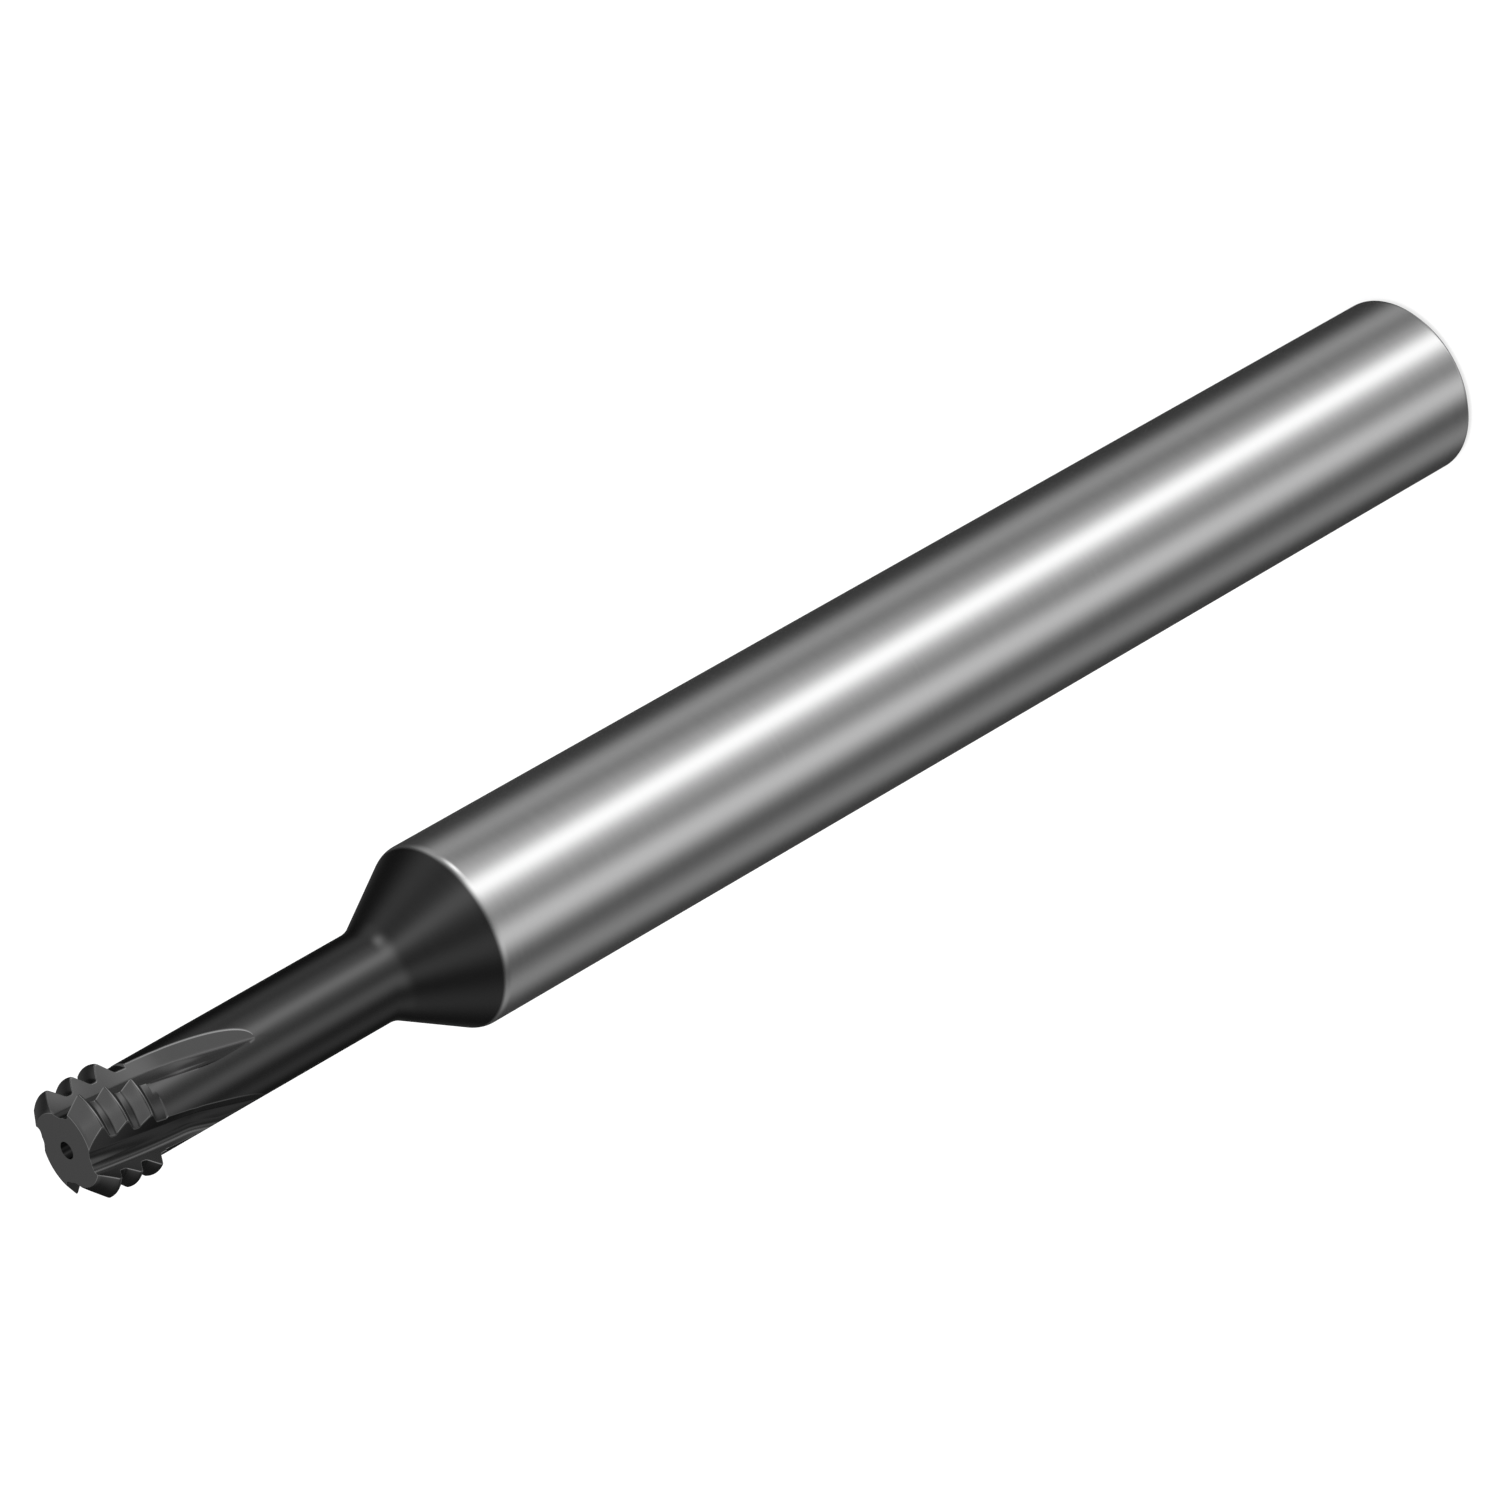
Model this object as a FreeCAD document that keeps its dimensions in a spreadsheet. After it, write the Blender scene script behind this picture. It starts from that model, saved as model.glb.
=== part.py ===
import FreeCAD, Part
import Sketcher
import math
import os

# A solid carbide thread mill, one piece, standing on its shank end with the cutting face up.
# The origin is the middle of the shank end, and Z runs along the tool. Angles are seen from the
# cutting face, and the first cutting edge lies on X there. "Down" is the distance from that face.

document = FreeCAD.newDocument("thread_mill")
sheet = document.addObject("Spreadsheet::Sheet", "Sizes")

driving_sizes = [
    # shank, cone and neck
    ("overall_length", 57.0, "shank end to cutting face"),
    ("shank_diameter", 6.0, "cylindrical shank, h6"),
    ("shank_chamfer", 0.2, "45 degree chamfer on the shank end"),
    ("shank_down", 14.6, "cutting face to the front of the full shank diameter"),
    ("shoulder_radius", 0.45, "rounding between shank and cone"),
    ("cone_angle", 30.0, "cone, measured from the axis"),
    ("neck_radius_of_blend", 1.3, "hollow rounding between cone and neck"),
    ("neck_diameter", 2.95, "slim neck behind the teeth"),
    ("coolant_diameter", 0.55, "bore along the axis"),
    # thread teeth
    ("cutting_diameter", 3.84, "over the cutting edges"),
    ("thread_pitch", 0.8, "tooth to tooth"),
    ("tooth_rows", 3, "rings of teeth"),
    ("first_crest_down", 0.42, "cutting face to the middle of the first crest"),
    ("flank_angle", 35.0, "side of a tooth, from straight across the axis"),
    ("crest_width", 0.06, "flat on a crest"),
    ("root_width", 0.2, "flat between two teeth"),
    ("relief_offset", 0.2, "how far a land's own axis lies off the tool's axis"),
    ("relief_lead", 71.0, "turn from a cutting edge to the side its land's axis lies on"),
    ("neck_down", 2.55, "cutting face to where the neck is ground round"),
    ("root_run_down", 2.68, "cutting face to the end of the last root, behind the teeth"),
    ("core_diameter", 2.27, "bar under the teeth, before fluting"),
    ("land_overlap", 12.0, "turn that each ring of teeth is made wider than its land before fluting"),
    # flutes
    ("flute_count", 4, "flutes and lands"),
    ("helix_angle", 15.0, "right-hand helix at the cutting diameter"),
    ("rake_angle", 8.0, "positive rake of the cutting face"),
    ("wall_distance", 0.93, "axis to the long wall on the heel side"),
    ("wall_angle", -6.9, "direction that wall faces"),
    ("wall_foot", 0.64, "start of that wall, sideways from the axis"),
    ("floor_turn", 23.6, "turn from the wall to the narrow floor"),
    ("flute_rounding", 0.18, "rounding at both corners of the floor"),
    ("exit_start_down", 3.4, "where the flute starts to climb out"),
    ("exit_blend", 0.6, "length over which it bends up"),
    ("exit_end_down", 6.4, "where it leaves the neck"),
    ("exit_side_slope", 0.262, "sideways drift of the wall's foot per length of exit"),
    ("exit_floor_turn", 12.0, "extra turn of the floor while it climbs out"),
    ("exit_floor_blend", 1.0, "length of climb over which the floor makes that turn"),
    ("wheel_clearance", 1.0, "how far the flute cutter reaches past the teeth"),
    ("flute_overrun", 0.5, "how far it runs on past both ends of the flute"),
    ("station_gap", 0.37, "largest distance between two sections of the flute cutter"),
]
for row, (alias, value, meaning) in enumerate(driving_sizes, start=1):
    sheet.set(f"A{row}", meaning)
    sheet.set(f"B{row}", str(value))
    sheet.setAlias(f"B{row}", alias)
document.recompute()


def number(expression):
    return float(sheet.evalExpression(expression))


def size(alias):
    return float(getattr(sheet, alias))


# expressions that several sketches share
tip = "Sizes.overall_length"
shank_radius = "Sizes.shank_diameter / 2"
neck_radius = "Sizes.neck_diameter / 2"
core_radius = "Sizes.core_diameter / 2"
cutting_radius = "Sizes.cutting_diameter / 2"
flank_slope = "tan(Sizes.flank_angle)"
tooth_depth = f"(Sizes.thread_pitch - Sizes.crest_width - Sizes.root_width) / 2 / {flank_slope}"
# degrees of helix per millimetre along the axis
twist = f"tan(Sizes.helix_angle) / ({cutting_radius}) * 180 / pi"

body = document.addObject("PartDesign::Body", "Blank")
body.Label = "ground_blank"


def origin_plane(role):
    return next(feature for feature in body.Origin.OriginFeatures if feature.Role == role)


def add_outline(name, corners, roundings=None):
    """A closed sketch on the XZ plane; each corner is a pair of expressions, radius and height.

    roundings maps the index of an edge to (radius expression, bulges outwards).
    """
    roundings = roundings or {}
    sketch = body.newObject("Sketcher::SketchObject", name)
    sketch.AttachmentSupport = [(origin_plane("XZ_Plane"), "")]
    sketch.MapMode = "FlatFace"
    points = [FreeCAD.Vector(number(x), number(y), 0) for x, y in corners]
    count = len(points)
    for index, start in enumerate(points):
        end = points[(index + 1) % count]
        if index in roundings:
            radius, outwards = roundings[index]
            sketch.addGeometry(arc_between(start, end, number(radius), outwards), False)
        else:
            sketch.addGeometry(Part.LineSegment(start, end), False)
    # an arc keeps the sketch's turning sense in its own start and end
    start_of = {index: 1 for index in range(count)}
    end_of = {index: 2 for index in range(count)}
    for index, (radius, outwards) in roundings.items():
        if not outwards:
            start_of[index], end_of[index] = 2, 1
    for index in range(count):
        following = (index + 1) % count
        sketch.addConstraint(
            Sketcher.Constraint("Coincident", index, end_of[index], following, start_of[following])
        )
    for index, (x, y) in enumerate(corners):
        for direction, expression, axis in (("X", x, -2), ("Y", y, -1)):
            if expression == "0":
                sketch.addConstraint(Sketcher.Constraint("PointOnObject", index, start_of[index], axis))
                continue
            added = sketch.addConstraint(
                Sketcher.Constraint(f"Distance{direction}", -1, 1, index, start_of[index], number(expression))
            )
            bind(sketch, added, f"{direction.lower()}_{index}", expression)
    for index, (radius, outwards) in roundings.items():
        added = sketch.addConstraint(Sketcher.Constraint("Radius", index, number(radius)))
        bind(sketch, added, f"rounding_{index}", radius)
    return sketch


def bind(sketch, constraint, name, expression):
    sketch.renameConstraint(constraint, name)
    sketch.setExpression(f"Constraints.{name}", expression)


def arc_between(start, end, radius, outwards):
    """The short arc from start to end; outwards bulges away from the Z axis when going up."""
    middle = (start + end) * 0.5
    chord = end - start
    rise = math.sqrt(radius**2 - (chord.Length / 2) ** 2)
    side = FreeCAD.Vector(-chord.y, chord.x, 0).normalize()
    centre = middle + side * (rise if outwards else -rise)
    from_angle = math.atan2(start.y - centre.y, start.x - centre.x)
    to_angle = math.atan2(end.y - centre.y, end.x - centre.x)
    if not outwards:
        from_angle, to_angle = to_angle, from_angle
    circle = Part.Circle(centre, FreeCAD.Vector(0, 0, 1), radius)
    return Part.ArcOfCircle(circle, from_angle, to_angle)


# turned and ground bar: chamfered shank, rounded shoulder, cone, blended neck, core
shoulder_reach = "Sizes.shoulder_radius * tan(Sizes.cone_angle / 2)"
blend_reach = "Sizes.neck_radius_of_blend * tan(Sizes.cone_angle / 2)"
shank_top = f"{tip} - Sizes.shank_down"
cone_base = f"{shank_top} + {shoulder_reach}"
cone_top = f"{cone_base} + ({shank_radius} - {neck_radius}) / tan(Sizes.cone_angle)"
root_run_end = f"{tip} - Sizes.root_run_down"
blank_outline = add_outline(
    "BlankOutline",
    [
        ("0", "0"),
        (f"{shank_radius} - Sizes.shank_chamfer", "0"),
        (shank_radius, "Sizes.shank_chamfer"),
        (shank_radius, shank_top),
        (f"{shank_radius} - {shoulder_reach} * sin(Sizes.cone_angle)",
         f"{cone_base} + {shoulder_reach} * cos(Sizes.cone_angle)"),
        (f"{neck_radius} + {blend_reach} * sin(Sizes.cone_angle)",
         f"{cone_top} - {blend_reach} * cos(Sizes.cone_angle)"),
        (neck_radius, f"{cone_top} + {blend_reach}"),
        (neck_radius, root_run_end),
        (core_radius, root_run_end),
        (core_radius, tip),
        ("0", tip),
    ],
    {3: ("Sizes.shoulder_radius", True), 5: ("Sizes.neck_radius_of_blend", False)},
)
blank = body.newObject("PartDesign::Revolution", "BlankTurned")
blank.Profile = blank_outline
blank.ReferenceAxis = (blank_outline, ["V_Axis"])
blank.Angle = 360
document.recompute()

# one land: the thread profile turned about an axis beside the tool's own, so that crests, flanks
# and roots all fall away behind the cutting edge
middle_row_down = "(Sizes.first_crest_down + (Sizes.tooth_rows - 1) * Sizes.thread_pitch / 2)"
relief_side = f"(Sizes.relief_lead - {twist} * {middle_row_down})"


def reach_from_land_axis(radius, down):
    """Distance from the land's axis to the point of the cutting edge at a radius and a depth."""
    turn = f"({relief_side} + {twist} * ({down}))"
    return f"sqrt(({radius})^2 + Sizes.relief_offset^2 - 2 * ({radius}) * Sizes.relief_offset * cos({turn}))"


edge_root_radius = f"({cutting_radius} - {tooth_depth})"
rows = int(size("tooth_rows"))
land_corners = [("0", tip)]
for row in range(rows):
    crest_down = f"(Sizes.first_crest_down + {row} * Sizes.thread_pitch)"
    crest = reach_from_land_axis(cutting_radius, crest_down)
    root = reach_from_land_axis(edge_root_radius, f"{crest_down} + Sizes.thread_pitch / 2")
    flank_end_down = f"{crest_down} + Sizes.crest_width / 2 + ({crest} - {root}) * {flank_slope}"
    if row == 0:
        front = f"{crest} - (Sizes.first_crest_down - Sizes.crest_width / 2) / {flank_slope}"
        land_corners.append((front, tip))
    else:
        land_corners.append((last_root,
                             f"{tip} - ({crest_down} - Sizes.crest_width / 2 - ({crest} - {last_root}) * {flank_slope})"))
    land_corners.append((crest, f"{tip} - ({crest_down} - Sizes.crest_width / 2)"))
    land_corners.append((crest, f"{tip} - ({crest_down} + Sizes.crest_width / 2)"))
    land_corners.append((root, f"{tip} - ({flank_end_down})"))
    last_root = root
# the last root runs on level; where it lies below the neck it ends in a small wall
land_corners.append((last_root, root_run_end))
land_corners.append(("0", root_run_end))
land_outline = add_outline("LandOutline", list(reversed(land_corners)))
land_outline.setExpression("AttachmentOffset.Base.x", f"Sizes.relief_offset * cos({relief_side})")
land_outline.setExpression("AttachmentOffset.Base.z", f"-Sizes.relief_offset * sin({relief_side})")

land = body.newObject("PartDesign::Revolution", "Land")
land.Profile = land_outline
land.ReferenceAxis = (land_outline, ["V_Axis"])
land.Reversed = True
land.setExpression("Angle", "360 / Sizes.flute_count + Sizes.land_overlap")
document.recompute()

lands = body.newObject("PartDesign::PolarPattern", "Lands")
lands.Originals = [land]
lands.Axis = (blank_outline, ["V_Axis"])
lands.Angle = 360
lands.setExpression("Occurrences", "Sizes.flute_count")
body.Tip = lands
document.recompute()

# the neck is ground round, which trims the last root where it stands above the neck
trim_outline = add_outline(
    "NeckTrim",
    [
        (neck_radius, f"{root_run_end} - Sizes.thread_pitch"),
        (shank_radius, f"{root_run_end} - Sizes.thread_pitch"),
        (shank_radius, f"{tip} - Sizes.neck_down"),
        (neck_radius, f"{tip} - Sizes.neck_down"),
    ],
)
trim = body.newObject("PartDesign::Groove", "NeckGround")
trim.Profile = trim_outline
trim.ReferenceAxis = (trim_outline, ["V_Axis"])
trim.Angle = 360
document.recompute()

# coolant bore along the whole axis
coolant_outline = body.newObject("Sketcher::SketchObject", "CoolantOutline")
coolant_outline.AttachmentSupport = [(origin_plane("XY_Plane"), "")]
coolant_outline.MapMode = "FlatFace"
coolant_outline.addGeometry(
    Part.Circle(FreeCAD.Vector(0, 0, 0), FreeCAD.Vector(0, 0, 1), size("coolant_diameter") / 2), False
)
coolant_outline.addConstraint(Sketcher.Constraint("Coincident", 0, 3, -1, 1))
bore_size = coolant_outline.addConstraint(Sketcher.Constraint("Diameter", 0, size("coolant_diameter")))
bind(coolant_outline, bore_size, "bore", "Sizes.coolant_diameter")
coolant = body.newObject("PartDesign::Pocket", "CoolantBore")
coolant.Profile = coolant_outline
coolant.Type = 1
coolant.Reversed = True
body.Tip = coolant
document.recompute()
print("blank volume", round(body.Shape.Volume, 3), "mm3")


# flute cutter: one section carried down the helix, then straight up and out of the neck
def direction(degrees):
    return FreeCAD.Vector(math.cos(math.radians(degrees)), math.sin(math.radians(degrees)), 0)


def crossing(point, along, other_point, other_along):
    across = FreeCAD.Vector(-other_along.y, other_along.x, 0)
    return point + along * ((other_point - point).dot(across) / along.dot(across))


def flute_section(down):
    """Closed wire of the flute at a distance from the cutting face."""
    edge_radius = size("cutting_diameter") / 2
    twist_rate = number(twist)
    climb = exit_travel(down)
    full_climb = exit_travel(size("exit_end_down"))
    rise = (size("neck_diameter") / 2 - size("wall_distance")) * climb / full_climb
    wall_turn = size("wall_angle") - twist_rate * min(down, size("exit_start_down") + size("exit_blend") / 2)
    wall_faces = direction(wall_turn)
    wall_along = direction(wall_turn + 90)
    foot_offset = size("wall_foot") - size("exit_side_slope") * climb
    foot = wall_faces * (size("wall_distance") + rise) + wall_along * foot_offset
    floor_turn = size("floor_turn") + size("exit_floor_turn") * min(climb / size("exit_floor_blend"), 1)
    floor_along = direction(wall_turn + floor_turn - 90)
    edge_turn = -twist_rate * down
    edge = direction(edge_turn) * edge_radius
    rake_along = direction(edge_turn + size("rake_angle"))
    floor_end = crossing(foot, floor_along, edge, rake_along)
    wall_top = foot + wall_along * (edge_radius + size("wheel_clearance"))
    rake_top = edge + rake_along * size("wheel_clearance")
    height = FreeCAD.Vector(0, 0, size("overall_length") - down)
    corners = [corner + height for corner in (wall_top, foot, floor_end, rake_top)]
    return rounded_wire(corners, size("flute_rounding"))


def exit_travel(down):
    """Length climbed at full slope, with a smooth start over the blend."""
    travel = down - size("exit_start_down")
    blend = size("exit_blend")
    if travel <= 0:
        return 0.0
    if travel < blend:
        return travel**2 / (2 * blend)
    return travel - blend / 2


def rounded_wire(corners, radius):
    """An open run of straight edges with its inner corners rounded, closed by one straight edge."""
    edges = []
    start = corners[0]
    for before, corner, after in zip(corners, corners[1:], corners[2:]):
        back = (before - corner).normalize()
        ahead = (after - corner).normalize()
        half = back.getAngle(ahead) / 2
        reach = radius / math.tan(half)
        bisector = (back + ahead).normalize()
        middle = corner + bisector * (radius / math.sin(half) - radius)
        edges.append(Part.makeLine(start, corner + back * reach))
        edges.append(Part.Arc(corner + back * reach, middle, corner + ahead * reach).toShape())
        start = corner + ahead * reach
    edges.append(Part.makeLine(start, corners[-1]))
    edges.append(Part.makeLine(corners[-1], corners[0]))
    return Part.Wire(edges)


flute_start_down = -size("flute_overrun")
flute_length = size("exit_end_down") + 2 * size("flute_overrun")
station_count = math.ceil(flute_length / size("station_gap"))
stations = [flute_start_down + flute_length * index / station_count for index in range(station_count + 1)]
flute_shape = Part.makeLoft([flute_section(down) for down in stations], True, False)
print("flute cutter volume", round(flute_shape.Volume, 3), "valid", flute_shape.isValid())

fluted = body
for index in range(int(size("flute_count"))):
    cutter = document.addObject("Part::Feature", f"FluteCutter{index + 1}")
    cutter.Shape = flute_shape
    cutter.Placement = FreeCAD.Placement(
        FreeCAD.Vector(0, 0, 0), FreeCAD.Rotation(FreeCAD.Vector(0, 0, 1), 360 * index / size("flute_count"))
    )
    cut = document.addObject("Part::Cut", f"Fluted{index + 1}")
    cut.Base = fluted
    cut.Tool = cutter
    fluted = cut
fluted.Label = "thread_mill"
document.recompute()

for item in document.Objects:
    if "Invalid" in item.State or "Error" in item.State:
        raise RuntimeError(f"{item.Name} could not be built: {item.State}")
shape = fluted.Shape
if shape.isNull() or not shape.isValid() or len(shape.Solids) != 1:
    raise RuntimeError(f"{fluted.Label} is not one valid solid")

os.makedirs("parts", exist_ok=True)
shape.exportStep(f"parts/{fluted.Label}.step")
print(fluted.Label, "volume", round(shape.Volume, 3), "mm3, box", shape.BoundBox)
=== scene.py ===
import math

import bmesh
import bpy
from mathutils import Matrix, Quaternion, Vector


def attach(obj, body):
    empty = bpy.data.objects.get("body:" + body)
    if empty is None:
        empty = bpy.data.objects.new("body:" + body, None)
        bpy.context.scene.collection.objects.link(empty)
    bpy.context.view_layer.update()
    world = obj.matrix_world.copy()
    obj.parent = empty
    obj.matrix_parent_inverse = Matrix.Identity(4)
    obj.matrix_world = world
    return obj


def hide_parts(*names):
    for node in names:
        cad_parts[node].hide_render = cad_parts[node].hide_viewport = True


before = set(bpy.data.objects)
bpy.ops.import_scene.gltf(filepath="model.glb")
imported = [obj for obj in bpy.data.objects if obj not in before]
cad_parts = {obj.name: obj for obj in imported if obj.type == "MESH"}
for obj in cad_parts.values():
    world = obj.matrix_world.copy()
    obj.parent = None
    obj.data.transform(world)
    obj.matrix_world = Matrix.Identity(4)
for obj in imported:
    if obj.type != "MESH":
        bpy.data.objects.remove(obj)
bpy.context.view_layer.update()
millimetre = 0.001
print("frame loaded")


class Wire:
    # one output socket of a node tree; arithmetic on wires adds Math nodes

    def __init__(self, tree, socket=None):
        self.tree = tree
        self.socket = socket

    def node(self, kind, settings=None, inputs=None, output=0):
        made = self.tree.nodes.new(kind)
        for name, value in (settings or {}).items():
            setattr(made, name, value)
        for name, value in (inputs or {}).items():
            if isinstance(value, Wire):
                self.tree.links.new(value.socket, made.inputs[name])
            else:
                made.inputs[name].default_value = value
        return Wire(self.tree, made.outputs[output] if len(made.outputs) else None)

    def maths(self, operation, *values):
        return self.node("ShaderNodeMath", {"operation": operation}, dict(enumerate(values)))

    def vector(self, operation, *values, output=0, scale=None):
        inputs = dict(enumerate(values))
        if scale is not None:
            inputs["Scale"] = scale
        return self.node("ShaderNodeVectorMath", {"operation": operation}, inputs, output)

    def __add__(self, other):
        return self.maths("ADD", self, other)

    def __radd__(self, other):
        return self.maths("ADD", other, self)

    def __sub__(self, other):
        return self.maths("SUBTRACT", self, other)

    def __rsub__(self, other):
        return self.maths("SUBTRACT", other, self)

    def __mul__(self, other):
        return self.maths("MULTIPLY", self, other)

    def __rmul__(self, other):
        return self.maths("MULTIPLY", other, self)

    def __truediv__(self, other):
        return self.maths("DIVIDE", self, other)

    def blend(self, low, high, fromLevel=0.0, toLevel=1.0):
        # a smooth change from one level to the other while this wire runs from low to high
        return self.node(
            "ShaderNodeMapRange",
            {"interpolation_type": "SMOOTHSTEP"},
            {0: self, 1: low, 2: high, 3: fromLevel, 4: toLevel},
        )


def newMaterial(name):
    material = bpy.data.materials.new(name)
    material.use_nodes = True
    material.node_tree.nodes.clear()
    return material, Wire(material.node_tree)


# ---- shape of the tool
tool = {
    # sizes in millimetres and degrees; "down" is measured from the cutting face towards the shank
    "length": 57.0,
    "cuttingRadius": 1.92,
    "pitch": 0.8,
    "rows": 3,
    "firstCrest": 0.42,
    "flankAngle": 35.0,
    "crestWidth": 0.06,
    "rootWidth": 0.2,
    "reliefOffset": 0.2,
    "reliefLead": 71.0,
    "neckDown": 2.55,
    "rootRunDown": 2.68,
    "neckRadius": 1.475,
    "fluteCount": 4,
    "helixAngle": 15.0,
    "rakeAngle": 8.0,
    "wallDistance": 0.93,
    "wallAngle": -6.9,
    "wallFoot": 0.64,
    "floorTurn": 23.6,
    "fluteRounding": 0.18,
    "exitStart": 3.4,
    "exitBlend": 0.6,
    "exitEnd": 6.4,
    "exitSideSlope": 0.262,
    "exitFloorTurn": 12.0,
    "coneTurn": 30.0,
    "blendRadius": 1.3,
    "shoulderRadius": 0.45,
    "shankRadius": 3.0,
    "shankDown": 14.6,
    "chamfer": 0.2,
    "coolantRadius": 0.275,
    # the two grinding hollows on the floor of a flute: depths, the ridge between them as a share of the
    # floor's width, and the strength of the wider one along the flute
    "wideHollow": 0.033,
    "narrowHollow": 0.0045,
    "ridgeAt": 0.74,
    "hollowFade": 0.33,
    "hollowLeast": 0.2,
    "hollowAtExit": 0.65,
    "narrowFloor": 0.02,  # share of the floor below which it has no hollow
    # how far the ground edges are rounded
    "crestEase": 0.028,
    "rootEase": 0.05,
    "heelEase": 0.03,
    "edgeEase": 0.024,
    "rimEase": 0.009,
    "wallEase": 0.012,
    "boreEase": 0.012,
    "rearEase": 0.03,
    "easeLimit": 0.8,  # of the distance to the next point
    "edgeLimit": 0.125,  # of the flute's width, where it runs out
    "heelLimit": 0.2,
    "earlyRound": 0.29,  # depth of a quarter round's middle, as a share of its radius
    # how finely the surface is divided
    "rakeSteps": 8,
    "roundSteps": 5,
    "floorSteps": 20,
    "wallSteps": 10,
    "landSteps": 26,
    "cornerSteps": 4,
    "flankStep": 0.09,
    "neckStep": 0.09,
    "shortest": 0.012,
    "wallRings": (-1, -0.4, 0, 0.4, 1),  # places across the small walls behind the teeth
    "runOutFrom": 0.3,  # the last rings of the flutes lie closer together, this far before their end
    "runOutRings": (0.24, 0.18, 0.13, 0.09, 0.06, 0.035, 0.018, 0.006),
    "ringGap": 0.01,
    "spreadLength": 1.4,
    "spreadSteps": 8,
    "blendSteps": 12,
    "coneSteps": 8,
    "shoulderSteps": 8,
    "shankSteps": 24,
    "rearHold": 3.0,  # distance of the last plain ring from the chamfer, in roundings
    "boreSegments": 48,
    "partSteps": 50,
    "walkSteps": 160,
    "halvings": 26,
    "mergeWithin": 0.0004,
    "sharpTurn": 35.0,
    "flatNormal": 0.9999,
    # where the coating is lighter, partly from coating wear on the ground edges and partly as a painted
    # highlight on edges and crests: beside an edge's middle line, and how far from a crest's
    "besideEdge": 0.6,
    "crestShare": 0.7,
    "crestGlow": 0.05,
}
twist = math.degrees(math.tan(math.radians(tool["helixAngle"])) / tool["cuttingRadius"])
flankSlope = math.tan(math.radians(tool["flankAngle"]))
middleRow = tool["firstCrest"] + (tool["rows"] - 1) * tool["pitch"] / 2
reliefSide = tool["reliefLead"] - twist * middleRow
floorPart = 2  # number of the floor among the parts of the flute's section


def heading(degrees):
    return Vector((math.cos(math.radians(degrees)), math.sin(math.radians(degrees))))


def bearing(point):
    return math.degrees(math.atan2(point.y, point.x))


def reachFromLandAxis(radius, down):
    turn = math.radians(reliefSide + twist * down)
    offset = tool["reliefOffset"]
    return math.sqrt(radius**2 + offset**2 - 2 * radius * offset * math.cos(turn))


def toothProfile():
    # corners of a land's profile as (down, distance from the land's axis, rounding)
    depth = (tool["pitch"] - tool["crestWidth"] - tool["rootWidth"]) / 2 / flankSlope
    halfCrest = tool["crestWidth"] / 2
    corners = []
    root = None
    for row in range(tool["rows"]):
        crestDown = tool["firstCrest"] + row * tool["pitch"]
        crest = reachFromLandAxis(tool["cuttingRadius"], crestDown)
        if root is None:
            corners.append((0.0, crest - (crestDown - halfCrest) / flankSlope, 0))
        else:
            corners.append((crestDown - halfCrest - (crest - root) * flankSlope, root, tool["rootEase"]))
        corners.append((crestDown - halfCrest, crest, tool["crestEase"]))
        corners.append((crestDown + halfCrest, crest, tool["crestEase"]))
        root = reachFromLandAxis(tool["cuttingRadius"] - depth, crestDown + tool["pitch"] / 2)
        corners.append((crestDown + halfCrest + (crest - root) * flankSlope, root, tool["rootEase"]))
    corners.append((tool["rootRunDown"], root, 0))
    return corners


def easedProfile(corners):
    # the profile as (down, reach) points, with each corner eased and the straight parts divided
    points = [corners[0][:2]]
    for before, corner, after in zip(corners, corners[1:], corners[2:]):
        start = Vector(before[:2])
        middle = Vector(corner[:2])
        end = Vector(after[:2])
        entry = middle + (start - middle) * (corner[2] / abs(middle.x - start.x))
        leave = middle + (end - middle) * (corner[2] / abs(end.x - middle.x))
        points += straight(Vector(points[-1]), entry)
        for step in range(1, tool["cornerSteps"] + 1):
            share = step / tool["cornerSteps"]
            toMiddle = entry.lerp(middle, share)
            fromMiddle = middle.lerp(leave, share)
            points.append(tuple(toMiddle.lerp(fromMiddle, share)))
    return points + straight(Vector(points[-1]), Vector(corners[-1][:2]))


def straight(start, end):
    count = max(1, math.ceil(abs(end.x - start.x) / tool["flankStep"]))
    return [tuple(start.lerp(end, step / count)) for step in range(1, count + 1)]


def exitTravel(down):
    travel = down - tool["exitStart"]
    blend = tool["exitBlend"]
    if travel <= 0:
        return 0.0
    return travel**2 / (2 * blend) if travel < blend else travel - blend / 2


def crossing(point, along, otherPoint, otherAlong):
    across = Vector((-otherAlong.y, otherAlong.x))
    return point + along * ((otherPoint - point).dot(across) / along.dot(across))


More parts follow.
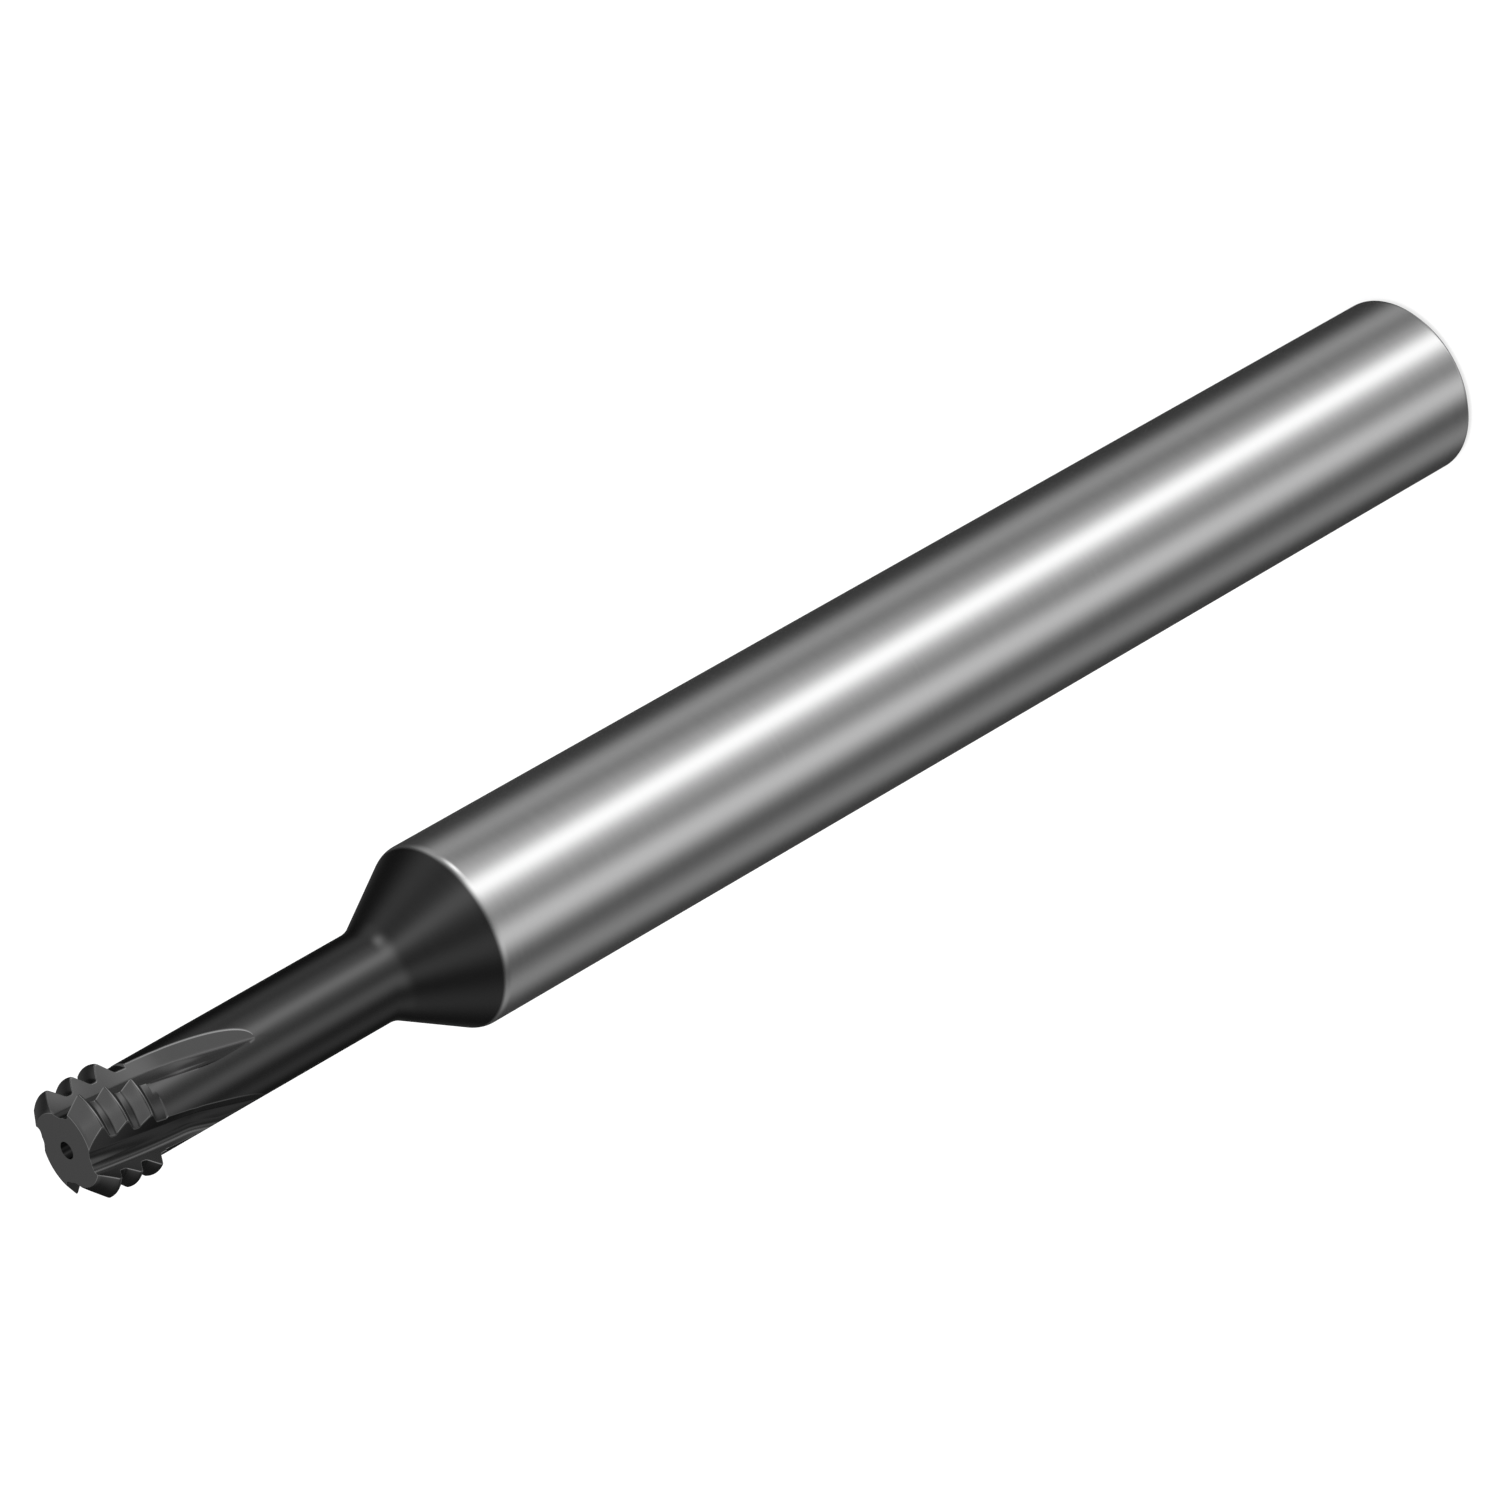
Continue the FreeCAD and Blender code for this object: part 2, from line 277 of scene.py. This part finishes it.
def flutePath(down):
    # the flute's section from the rake side to the heel side, as five parts: rake, rounding, floor,
    # rounding and wall; a place on it is a part's number plus a share of that part
    climb = exitTravel(down)
    rise = (tool["neckRadius"] - tool["wallDistance"]) * climb / exitTravel(tool["exitEnd"])
    wallTurn = tool["wallAngle"] - twist * min(down, tool["exitStart"] + tool["exitBlend"] / 2)
    wallAlong = heading(wallTurn + 90)
    foot = heading(wallTurn) * (tool["wallDistance"] + rise)
    foot = foot + wallAlong * (tool["wallFoot"] - tool["exitSideSlope"] * climb)
    floorTurn = tool["floorTurn"] + tool["exitFloorTurn"] * min(climb, 1)
    edgeTurn = -twist * down
    edge = heading(edgeTurn) * tool["cuttingRadius"]
    rakeAlong = heading(edgeTurn + tool["rakeAngle"])
    floorEnd = crossing(foot, heading(wallTurn + floorTurn - 90), edge, rakeAlong)
    corners = [edge + rakeAlong, floorEnd, foot, foot + wallAlong * 2.5]
    parts = []
    start = corners[0]
    for before, corner, after in zip(corners, corners[1:], corners[2:]):
        back = (before - corner).normalized()
        ahead = (after - corner).normalized()
        half = back.angle(ahead) / 2
        reach = tool["fluteRounding"] / math.tan(half)
        centre = corner + (back + ahead).normalized() * (tool["fluteRounding"] / math.sin(half))
        parts.append(("line", start, corner + back * reach))
        parts.append(("round", corner + back * reach, corner + ahead * reach, centre))
        start = corner + ahead * reach
    parts.append(("line", start, corners[-1]))
    return parts


def pathPoint(parts, place):
    number = min(int(place), len(parts) - 1)
    part = parts[number]
    share = place - number
    if part[0] == "line":
        return part[1].lerp(part[2], share)
    centre = part[3]
    start = part[1] - centre
    turn = start.angle_signed(part[2] - centre)
    return centre + Matrix.Rotation(-turn * share, 2) @ start


def hollow(parts, place, down, first):
    # two shallow grinding hollows on the floor of the flute, the wider one on the heel side
    floorEnd = floorPart + 1
    width = floorEnd - max(first, floorPart)
    if not floorPart < place < floorEnd or width < tool["narrowFloor"]:
        return Vector((0, 0))
    across = (floorEnd - place) / width
    strength = max(tool["hollowLeast"], 1 - tool["hollowFade"] * down)
    if down > tool["exitStart"]:
        rising = min(1, exitTravel(down) / tool["exitBlend"])
        strength += (tool["hollowAtExit"] - strength) * rising
        strength *= (tool["exitEnd"] - down) / (tool["exitEnd"] - tool["exitStart"])
    ridge = tool["ridgeAt"]
    if across < ridge:
        depth = tool["wideHollow"] * strength * math.sin(math.pi * across / ridge)
    else:
        depth = tool["narrowHollow"] * math.sin(math.pi * (across - ridge) / (1 - ridge))
    along = (parts[floorPart][2] - parts[floorPart][1]).normalized()
    away = Vector((-along.y, along.x))
    return away * depth if away.dot(pathPoint(parts, place)) > 0 else -away * depth


def passed(down, wall):
    # 0 in front of a small wall, 1 behind it, with a soft change between
    share = min(max((down - wall) / tool["wallEase"] / 2 + 0.5, 0), 1)
    return share * share * (3 - 2 * share)


def landRadius(theta, edgeTurn, down, reach):
    # distance from the tool's axis to the land that ends at the cutting edge at edgeTurn;
    # behind the teeth the neck is ground round, first where the land stands above it
    neck = tool["neckRadius"]
    towards = math.radians(theta - edgeTurn - reliefSide - twist * down)
    offset = tool["reliefOffset"]
    land = offset * math.cos(towards) + math.sqrt(reach**2 - (offset * math.sin(towards)) ** 2)
    land -= passed(down, tool["neckDown"]) * max(0, land - neck)
    return land + passed(down, tool["rootRunDown"]) * (neck - land)


def leavingPlace(parts, first, last, outline):
    # where the path first reaches the outline on the way from its innermost place
    inside = first
    for step in range(1, tool["walkSteps"] + 1):
        place = first + (last - first) * step / tool["walkSteps"]
        point = pathPoint(parts, place)
        if point.length >= outline(bearing(point)):
            outside = place
            for halving in range(tool["halvings"]):
                middle = (inside + outside) / 2
                point = pathPoint(parts, middle)
                if point.length >= outline(bearing(point)):
                    outside = middle
                else:
                    inside = middle
            return inside
        inside = place
    return last


def sectionAt(down, reach):
    # the tool's outline at one depth, anticlockwise from above, starting at the first cutting edge
    parts = flutePath(down)
    edgeTurn = -twist * down
    quarterTurn = 360 / tool["fluteCount"]
    places = [step / tool["partSteps"] for step in range(len(parts) * tool["partSteps"] + 1)]
    innermost = min(places, key=lambda place: pathPoint(parts, place).length)
    first = leavingPlace(parts, innermost, 0, lambda theta: landRadius(theta, edgeTurn, down, reach))
    last = leavingPlace(
        parts, innermost, len(parts), lambda theta: landRadius(theta, edgeTurn + quarterTurn, down, reach)
    )
    counts = [tool[name] for name in ("rakeSteps", "roundSteps", "floorSteps", "roundSteps", "wallSteps")]
    if (pathPoint(parts, first) - pathPoint(parts, math.ceil(first))).length < tool["shortest"]:
        first = math.ceil(first)
    flute = [pathPoint(parts, first)]
    for number, count in enumerate(counts):
        low = min(max(number, first), last)
        high = min(max(number + 1, first), last)
        for step in range(1, count + 1):
            place = low + (high - low) * step / count
            flute.append(pathPoint(parts, place) - hollow(parts, place, down, first))
    heel = bearing(flute[-1])
    edge = bearing(flute[0]) + quarterTurn
    land = []
    for step in range(1, tool["landSteps"]):
        theta = heel + (edge - heel) * step / tool["landSteps"]
        land.append(heading(theta) * landRadius(theta, edgeTurn + quarterTurn, down, reach))
    width = (flute[-1] - flute[0]).length
    edgeEase = min(tool["edgeEase"], width * tool["edgeLimit"])
    heelEase = min(tool["heelEase"], width * tool["heelLimit"])
    quarter = easedCorners(flute, land, edgeEase, heelEase)
    outline = []
    for number in range(tool["fluteCount"]):
        turn = Matrix.Rotation(math.radians(quarterTurn * number), 2)
        outline += [turn @ point for point in quarter]
    return outline


def edgeWearAndHighlightShares(count, down):
    # how far each point of a ring lies on a ground edge or a crest, where the coating is painted lighter:
    # partly coating wear, partly a painted highlight; the first ring bounds the end face and stays dark
    if down == 0:
        return [0.0] * count
    if down < tool["rimEase"] * 0.9:
        return [1.0] * count
    quarter = count // tool["fluteCount"]
    heel = quarter - tool["landSteps"] - 1
    besides = {0: tool["besideEdge"], 1: 1.0, 2: tool["besideEdge"]}
    atTeeth = 1 - passed(down, tool["rootRunDown"])
    crests = [tool["firstCrest"] + row * tool["pitch"] for row in range(tool["rows"])]
    # crests get a painted highlight, a glint along their middle line
    crest = max(1 - abs(down - middle) / tool["crestGlow"] for middle in crests) * tool["crestShare"]
    shares = []
    for number in range(count):
        place = number % quarter
        onEdge = besides.get(place, 0) * atTeeth
        onHeel = besides.get(place - heel + 1, 0)
        onLand = place > heel or place == 0
        shares.append(max(onEdge, onHeel, crest if onLand else 0, 0))
    return shares


def easedCorners(flute, land, edgeEase, heelEase):
    # the outline of one flute and its land, with the cutting edge and the heel very slightly rounded
    lastLand = Matrix.Rotation(math.radians(-360 / tool["fluteCount"]), 2) @ land[-1]
    edge = roundedPoint(lastLand, flute[0], flute[1], edgeEase)
    heel = roundedPoint(flute[-2], flute[-1], land[0], heelEase)
    return edge + flute[1:-1] + heel + land


def roundedPoint(before, corner, after, widest):
    # three points in place of a corner: where the rounding starts, its middle and where it ends
    room = min((before - corner).length, (after - corner).length)
    ease = min(widest, room * tool["easeLimit"])
    entry = corner + (before - corner).normalized() * ease
    leave = corner + (after - corner).normalized() * ease
    return [entry, entry * 0.25 + corner * 0.5 + leave * 0.25, leave]


def narrowed(outline, inset):
    # the outline moved inwards by the same small distance all round
    moved = []
    for before, point, after in zip(outline[-1:] + outline[:-1], outline, outline[1:] + outline[:1]):
        along = (after - before).normalized()
        moved.append(point + Vector((-along.y, along.x)) * inset)
    return moved


def reachAt(profile, down):
    for (low, lowReach), (high, highReach) in zip(profile, profile[1:]):
        if down <= high:
            return lowReach + (highReach - lowReach) * (down - low) / (high - low)
    return profile[-1][1]


def headRings():
    # outlines from the cutting face down to the end of the flutes, as (down, outline)
    profile = easedProfile(toothProfile())
    rim = tool["rimEase"]
    face = sectionAt(0.0, reachAt(profile, 0.0))
    early = rim * tool["earlyRound"]
    rings = [(0.0, narrowed(face, rim)), (early, narrowed(face, early))]
    downs = [rim] + [down for down, reach in profile[:-1] if down > rim * 1.5]
    for wall in (tool["neckDown"], tool["rootRunDown"]):
        downs += [wall + tool["wallEase"] * share for share in tool["wallRings"]]
    neckStart = tool["rootRunDown"] + tool["wallEase"] + tool["neckStep"]
    neckLength = tool["exitEnd"] - tool["runOutFrom"] - neckStart
    steps = math.ceil(neckLength / tool["neckStep"])
    downs += [neckStart + neckLength * step / steps for step in range(steps + 1)]
    downs += [tool["exitEnd"] - before for before in tool["runOutRings"]]
    return rings + [(down, sectionAt(down, reachAt(profile, down))) for down in sorted(downs)]


def neckRings(outline):
    # rings on the neck whose points slide from where the flutes ended to an even spacing
    count = len(outline)
    turns = [bearing(outline[0])]
    for point in outline[1:]:
        turns.append(turns[-1] + (bearing(point) - turns[-1] + 180) % 360 - 180)
    start = round((sum(turns) / count - 180 + 180 / count) * count / 360)
    even = [360 * (start + number) / count for number in range(count)]
    rings = []
    for step in range(tool["spreadSteps"] + 1):
        share = step / tool["spreadSteps"]
        ease = share * share * (3 - 2 * share)
        placed = [heading(turn * (1 - ease) + other * ease) for turn, other in zip(turns, even)]
        down = tool["exitEnd"] + tool["ringGap"] + share * tool["spreadLength"]
        rings.append((down, [point * tool["neckRadius"] for point in placed]))
    return rings


def shankProfile():
    # radius and depth below the cutting face of the hollow rounding, cone, shoulder, shank and chamfer
    turn = math.radians(tool["coneTurn"])
    shoulderReach = tool["shoulderRadius"] * math.tan(turn / 2)
    blendReach = tool["blendRadius"] * math.tan(turn / 2)
    coneBase = tool["shankDown"] - shoulderReach
    coneTop = coneBase - (tool["shankRadius"] - tool["neckRadius"]) / math.tan(turn)
    blend = []
    for step in range(tool["blendSteps"] + 1):
        part = turn * step / tool["blendSteps"]
        blend.append((
            tool["neckRadius"] + tool["blendRadius"] * (1 - math.cos(part)),
            coneTop - blendReach + tool["blendRadius"] * math.sin(part),
        ))
    shoulder = []
    for step in range(tool["shoulderSteps"] + 1):
        part = turn * (1 - step / tool["shoulderSteps"])
        shoulder.append((
            tool["shankRadius"] - tool["shoulderRadius"] * (1 - math.cos(part)),
            tool["shankDown"] - tool["shoulderRadius"] * math.sin(part),
        ))
    coneShares = [step / tool["coneSteps"] for step in range(1, tool["coneSteps"])]
    cone = [tuple(Vector(blend[-1]).lerp(Vector(shoulder[0]), share)) for share in coneShares]
    points = blend + cone + shoulder
    full = tool["length"] - tool["chamfer"]
    for step in range(1, tool["shankSteps"]):
        share = step / tool["shankSteps"]
        points.append((tool["shankRadius"], tool["shankDown"] * (1 - share) + full * share))
    ease = tool["rearEase"]
    slant = ease * math.sqrt(0.5)
    points += [
        (tool["shankRadius"], full - ease * tool["rearHold"]),
        (tool["shankRadius"], full - ease),
        (tool["shankRadius"] - slant * 0.25, full - ease * 0.2),
        (tool["shankRadius"] - slant, full + slant),
        (tool["shankRadius"] - tool["chamfer"] + slant, tool["length"] - slant),
        (tool["shankRadius"] - tool["chamfer"] - ease * 0.2, tool["length"] - slant * 0.25),
        (tool["shankRadius"] - tool["chamfer"] - ease, tool["length"]),
    ]
    return points


def ringEdges(shape, ring):
    return [shape.edges.get((vert, after)) for vert, after in zip(ring, ring[1:] + ring[:1])]


def extrudedRing(shape, ring):
    # one more row of faces; returns the new ring in the same order as the old one
    made = bmesh.ops.extrude_edge_only(shape, edges=ringEdges(shape, ring))["geom"]
    fresh = {item for item in made if isinstance(item, bmesh.types.BMVert)}
    following = []
    for vert in ring:
        neighbours = [edge.other_vert(vert) for edge in vert.link_edges]
        following.append(next(neighbour for neighbour in neighbours if neighbour in fresh))
    return following


def placeRing(ring, outline, down, layer=None):
    shares = edgeWearAndHighlightShares(len(ring), down) if layer and down < tool["exitEnd"] else [0] * len(ring)
    for vert, point, share in zip(ring, outline, shares):
        vert.co = (point.x, point.y, tool["length"] - down)
        if layer:
            vert[layer] = share


def addMill():
    rings = headRings()
    rings += neckRings(rings[-1][1])
    even = [point.normalized() for point in rings[-1][1]]
    rings += [(down, [point * radius for point in even]) for radius, down in shankProfile()]
    shape = bmesh.new()
    layer = shape.verts.layers.float.new("edge")
    ring = bmesh.ops.create_circle(shape, segments=len(even), radius=1)["verts"]
    frontRing = ring
    placeRing(ring, rings[0][1], rings[0][0], layer)
    for down, outline in rings[1:]:
        ring = extrudedRing(shape, ring)
        placeRing(ring, outline, down, layer)
    rearRing = ring
    boreEase = tool["boreEase"]
    segments = tool["boreSegments"]
    around = [heading(360 * number / segments) for number in range(segments)]
    bore = bmesh.ops.create_circle(shape, segments=segments, radius=1)["verts"]
    boreFront = bore
    bores = [
        (0.0, tool["coolantRadius"] + boreEase),
        (boreEase * tool["earlyRound"], tool["coolantRadius"] + boreEase * tool["earlyRound"]),
        (boreEase, tool["coolantRadius"]),
        (tool["length"], tool["coolantRadius"]),
    ]
    placeRing(bore, [point * bores[0][1] for point in around], bores[0][0])
    for down, radius in bores[1:]:
        bore = extrudedRing(shape, bore)
        placeRing(bore, [point * radius for point in around], down)
    for outer, inner in ((frontRing, boreFront), (rearRing, bore)):
        rims = ringEdges(shape, outer) + ringEdges(shape, inner)
        bmesh.ops.triangle_fill(shape, use_beauty=True, edges=rims)
    bmesh.ops.remove_doubles(shape, verts=shape.verts, dist=tool["mergeWithin"])
    bmesh.ops.scale(shape, vec=(millimetre,) * 3, verts=shape.verts)
    bmesh.ops.recalc_face_normals(shape, faces=shape.faces)
    if shape.calc_volume(signed=True) < 0:
        bmesh.ops.reverse_faces(shape, faces=shape.faces)
    shape.normal_update()
    mesh = bpy.data.meshes.new("millSurface")
    shape.to_mesh(mesh)
    shape.free()
    mesh.set_sharp_from_angle(angle=math.radians(tool["sharpTurn"]))
    for face in mesh.polygons:  # the edges of the two flat ends, whatever their angle
        if abs(face.normal.z) > tool["flatNormal"]:
            for corner in face.loop_indices:
                mesh.edges[mesh.loops[corner].edge_index].use_edge_sharp = True
    piece = bpy.data.objects.new("millSurface", mesh)
    bpy.context.scene.collection.objects.link(piece)
    piece.modifiers.new("weightedNormals", "WEIGHTED_NORMAL").keep_sharp = True
    return piece


mill = addMill()
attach(mill, "root")
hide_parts("thread_mill")
mill.visible_glossy = False
print("tool shaped")

# ---- finish of the tool: bright ground shank, thin dark coating from the cone to the cutting face
carbide = {
    "bareColour": 0.6,
    "bareRoughness": 0.2,
    "bareGrazing": 0.58,
    "coatedColour": 0.085,
    "coatedRoughness": 0.24,
    "coatedGrazing": 0.42,
    "coatedFrom": 42.62,
    "coatedFade": 0.06,
    # lighter coating on edges and crests: partly coating wear, partly a painted highlight
    "edgeWearAndHighlightColour": 0.25,
    "boreShade": 0.2,
    "grindingScale": (90, 90, 9000),
    "grindingRoughness": 0.05,
    "grindingColour": 0.05,
}


def grey(level):
    return (level, level, level, 1)


def carbideMaterial():
    material, start = newMaterial("coatedCarbide")
    place = start.node("ShaderNodeTexCoord", output=3)
    height = start.node("ShaderNodeSeparateXYZ", inputs={0: place}, output=2) / millimetre
    fade = carbide["coatedFade"]
    coated = height.blend(carbide["coatedFrom"] - fade, carbide["coatedFrom"] + fade)
    marks = start.vector("MULTIPLY", place, carbide["grindingScale"])
    grinding = start.node("ShaderNodeTexNoise", inputs={"Vector": marks, "Scale": 1.0, "Detail": 3.0}) - 0.5
    streaks = grinding * carbide["grindingColour"] + 1
    roughening = grinding * carbide["grindingRoughness"]
    bare = start.node(
        "ShaderNodeBsdfPrincipled",
        inputs={
            "Base Color": start.vector("SCALE", (carbide["bareColour"],) * 3, scale=streaks),
            "Metallic": 1.0,
            "Roughness": roughening + carbide["bareRoughness"],
            "Specular Tint": grey(carbide["bareGrazing"]),
        },
    )
    across = start.vector("MULTIPLY", place, (1 / millimetre, 1 / millimetre, 0))
    radius = start.vector("LENGTH", across, output=1)
    boreRim = tool["coolantRadius"] + tool["boreEase"]
    outside = radius.blend(tool["coolantRadius"], boreRim, carbide["boreShade"], 1.0)
    # the edge mask paints the coating lighter: partly coating wear on the edges, partly a painted highlight
    # on edges and crests
    edgeWearAndHighlight = start.node("ShaderNodeAttribute", {"attribute_name": "edge"}, output=2)
    level = (edgeWearAndHighlight * (carbide["edgeWearAndHighlightColour"] - carbide["coatedColour"]) + carbide["coatedColour"]) * outside
    coatedColour = start.vector("SCALE", (1, 1, 1), scale=level * streaks)
    coating = start.node(
        "ShaderNodeBsdfPrincipled",
        inputs={
            "Base Color": coatedColour,
            "Metallic": 1.0,
            "Roughness": roughening + carbide["coatedRoughness"],
            "Specular Tint": grey(carbide["coatedGrazing"]),
        },
    )
    surface = start.node("ShaderNodeMixShader", inputs={0: coated, 1: bare, 2: coating})
    start.node("ShaderNodeOutputMaterial", inputs={0: surface})
    return material


mill.data.materials.append(carbideMaterial())
print("tool finished")


# ---- camera: the photograph's view of the standing tool, turned so that the tool lies across the picture
photoView = {
    "azimuth": 46.616,
    "elevation": 34.381,
    "roll": -119.81,
    "distance": 0.26732,
    "aim": (-0.009622, -0.009849, 0.020117),
    "lens": 197.2,
    "sensor": 36,
    "clipStart": 0.01,
}


def addCamera():
    camera = bpy.data.cameras.new("photoView")
    camera.lens = photoView["lens"]
    camera.sensor_width = photoView["sensor"]
    camera.clip_start = photoView["clipStart"]
    azimuth = math.radians(photoView["azimuth"])
    elevation = math.radians(photoView["elevation"])
    back = Vector((
        math.cos(elevation) * math.cos(azimuth),
        math.cos(elevation) * math.sin(azimuth),
        math.sin(elevation),
    ))
    holder = bpy.data.objects.new("photoView", camera)
    holder.location = Vector(photoView["aim"]) + back * photoView["distance"]
    turn = back.to_track_quat("Z", "Y") @ Quaternion((0, 0, 1), math.radians(photoView["roll"]))
    holder.rotation_euler = turn.to_euler()
    bpy.context.scene.collection.objects.link(holder)
    bpy.context.scene.camera = holder


addCamera()
print("camera placed")


# ---- studio: soft light all round, brighter in six upright strips, which the metal mirrors
studio = {
    "bands": [  # where a strip shows on the shank, in degrees round the tool, brightness, narrowness
        (93, 0.22, 18),
        (73, 0.19, 27),
        (60, 1.0, 27),
        (47.5, 0.19, 30),
        (28, 0.46, 18),
        (-5.5, 0.17, 14),
    ],
    "patches": [  # azimuth and elevation in degrees, brightness, narrowness
        (126, 14, 0.2, 22),
        (-41, 11, 0.05, 22),
        (-130, 15, 0.11, 5),
        (106, -10, 1.5, 45),
        (-58, 88, -0.28, 55),
        (-150, 0, 0.5, 30),
    ],
    "panel": (-150, 75, 62, 40, 0.85),  # azimuth, elevation, outer and inner edge in degrees, brightness
    "between": 0.046,
    "stripLevel": 1.67,
    "highContrast": 0.5,  # share of the strips' light that is left high up
    "highRange": (-0.15, 0.35),  # heights between which it changes, as the sine of the elevation
    "lowContrast": 0.9,
    "lowRange": (-0.85, -0.65),
    "belowLight": 0.45,  # light from the floor
    "belowRange": (-0.97, -0.8),
    "softLight": 0.6,  # plain light on whatever is not a reflection
}


def towards(azimuth, elevation=0):
    flat = math.cos(math.radians(elevation))
    across = heading(azimuth) * flat
    return (across.x, across.y, math.sin(math.radians(elevation)))


def studioWorld():
    world = bpy.data.worlds.new("softStudio")
    bpy.context.scene.world = world
    world.use_nodes = True
    world.node_tree.nodes.clear()
    world.cycles.sampling_method = "NONE"
    start = Wire(world.node_tree)
    direction = start.node("ShaderNodeTexCoord", output=0)
    flat = start.vector("NORMALIZE", start.vector("MULTIPLY", direction, (1, 1, 0)))
    level = studio["between"]
    for angle, brightness, narrowness in studio["bands"]:
        strip = 2 * angle - photoView["azimuth"]  # the camera sees it mirrored in the shank at that angle
        facing = start.vector("DOT_PRODUCT", flat, towards(strip), output=1)
        level = level + brightness * start.maths("EXPONENT", (facing - 1) * narrowness)
    height = start.node("ShaderNodeSeparateXYZ", inputs={0: direction}, output=2)
    highShare = height.blend(*studio["highRange"], 1.0, studio["highContrast"])
    lowShare = height.blend(*studio["lowRange"], studio["lowContrast"], 1.0)
    level = (level * (highShare * lowShare)) * studio["stripLevel"]
    level = level + height.blend(*studio["belowRange"], studio["belowLight"], 0.0)
    for azimuth, elevation, brightness, narrowness in studio["patches"]:
        facing = start.vector("DOT_PRODUCT", direction, towards(azimuth, elevation), output=1)
        level = level + brightness * start.maths("EXPONENT", (facing - 1) * narrowness)
    azimuth, elevation, outer, inner, brightness = studio["panel"]
    facing = start.vector("DOT_PRODUCT", direction, towards(azimuth, elevation), output=1)
    outer = math.cos(math.radians(outer))
    inner = math.cos(math.radians(inner))
    level = level + facing.blend(outer, inner, 0, brightness)
    rays = start.node("ShaderNodeLightPath", output=0)
    seenByMetal = Wire(world.node_tree, rays.socket.node.outputs["Is Glossy Ray"])
    seenByCamera = Wire(world.node_tree, rays.socket.node.outputs["Is Camera Ray"])
    plain = seenByCamera * (1 - studio["softLight"]) + studio["softLight"]
    strength = seenByMetal * level + (1 - seenByMetal) * plain
    light = start.node("ShaderNodeBackground", inputs={"Color": (1, 1, 1, 1), "Strength": strength})
    start.node("ShaderNodeOutputWorld", inputs={0: light})


studioWorld()

floorSizes = {"side": 4.0, "colour": 0.9, "shadowShare": 0.3}


def addFloor():
    shape = bmesh.new()
    bmesh.ops.create_grid(shape, x_segments=1, y_segments=1, size=floorSizes["side"] / 2)
    mesh = bpy.data.meshes.new("floor")
    shape.to_mesh(mesh)
    shape.free()
    floor = bpy.data.objects.new("floor", mesh)
    bpy.context.scene.collection.objects.link(floor)
    floor.visible_glossy = False
    material, start = newMaterial("paleFloor")
    lit = start.node("ShaderNodeBsdfDiffuse", inputs={"Color": (floorSizes["colour"],) * 3 + (1,)})
    white = start.node("ShaderNodeEmission", inputs={"Color": (1, 1, 1, 1), "Strength": 1.0})
    rays = start.node("ShaderNodeLightPath", output=0)
    share = rays * (1 - floorSizes["shadowShare"])
    surface = start.node("ShaderNodeMixShader", inputs={0: share, 1: lit, 2: white})
    start.node("ShaderNodeOutputMaterial", inputs={0: surface})
    mesh.materials.append(material)
    return floor


addFloor()

lamps = {
    "overhead": {"place": (0.05, 0.02, 0.5), "side": 0.5, "watts": 4.0},
}


def addLamp(name, place, side, watts):
    lamp = bpy.data.lights.new(name, "AREA")
    lamp.shape = "SQUARE"
    lamp.size = side
    lamp.energy = watts
    holder = bpy.data.objects.new(name, lamp)
    holder.visible_glossy = False
    holder.location = place
    holder.rotation_euler = Vector(place).to_track_quat("Z", "Y").to_euler()
    bpy.context.scene.collection.objects.link(holder)
    return holder


for name, values in lamps.items():
    addLamp(name, **values)
print("studio lit")

bpy.context.scene.view_settings.view_transform = "Standard"
